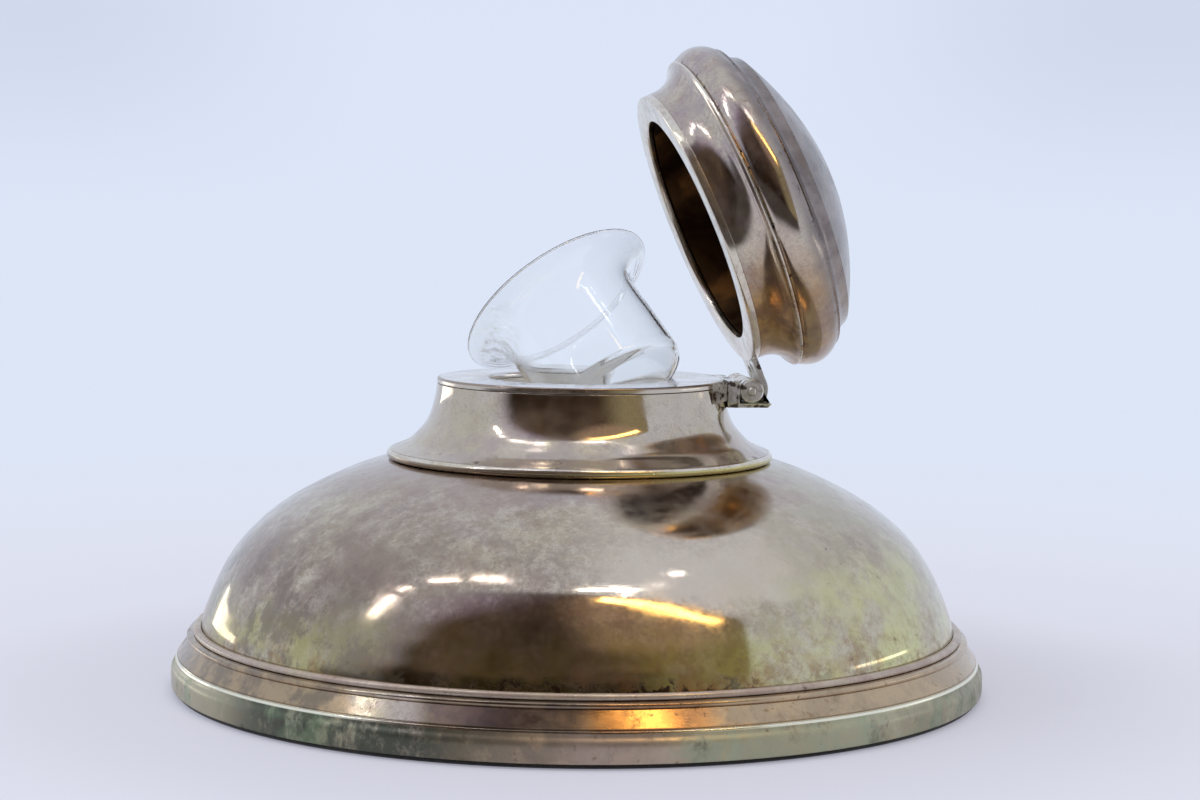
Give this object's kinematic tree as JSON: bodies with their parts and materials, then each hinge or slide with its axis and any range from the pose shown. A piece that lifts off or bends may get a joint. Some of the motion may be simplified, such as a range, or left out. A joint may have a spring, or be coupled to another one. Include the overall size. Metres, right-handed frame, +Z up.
{
  "type": "silver desk inkwell with hinged lid",
  "caption": "Wide domed silver desk inkwell with a waisted collar, a moulded lid standing open on a knuckle hinge, and a flanged glass liner tipped in its mouth.",
  "frame": {"origin": "on the axis of the round foot, on the surface it stands on", "axes": "+Z up along the axis of the foot; +X towards the lid's hinge; +Y completes the frame, away from the picture's camera"},
  "size_m": [0.142, 0.142, 0.1121],
  "materials": {
    "tarnished_silver": "spun silver, tarnished warm grey with brown and yellow-green mottling",
    "worn_silver": "brighter worn silver on edges and hinge",
    "stained_silver": "dark brown stained silver",
    "baize": "dark baize",
    "wood": "plain turned wood",
    "plaster": "plaster filling, matt",
    "clear_glass": "clear blown glass with a little ink residue"
  },
  "bodies": {
    "base": {"base_pad": "baize", "base_board": "wood", "foot_moulding": "tarnished_silver", "foot_bead": "tarnished_silver", "dome_shell": "tarnished_silver", "collar_lip": "tarnished_silver", "collar": "tarnished_silver", "mouth_plate": "worn_silver", "well_cup": "stained_silver", "base_filling": "plaster", "hinge_collar_leaf": "worn_silver", "hinge_knuckle_1": "worn_silver", "hinge_knuckle_3": "worn_silver", "hinge_knuckle_5": "worn_silver", "hinge_pin": "stained_silver"},
    "lid": {"lid_rim": "worn_silver", "lid_neck": "tarnished_silver", "lid_torus": "tarnished_silver", "lid_band": "tarnished_silver", "lid_cap": "tarnished_silver", "lid_lining": "stained_silver", "hinge_lid_strap": "worn_silver", "hinge_knuckle_2": "worn_silver", "hinge_knuckle_4": "worn_silver"},
    "liner": {"glass_liner": "clear_glass"}
  },
  "joints": [
    {"name": "lid_hinge", "type": "hinge", "parent": "base", "child": "lid", "pos_m": [0.0292, 0, 0.05205], "axis": [0, 1, 0], "range_deg": [-67.2, 0]},
    {"name": "liner_lift", "type": "slide", "parent": "base", "child": "liner", "axis": [-0.7744, 0.2819, 0.5664], "range_m": [0, 0.0865]}
  ],
  "couplings": [
    {"joint": "liner_lift", "follows": "lid_hinge", "m_per_rad": -0.073325}
  ]
}
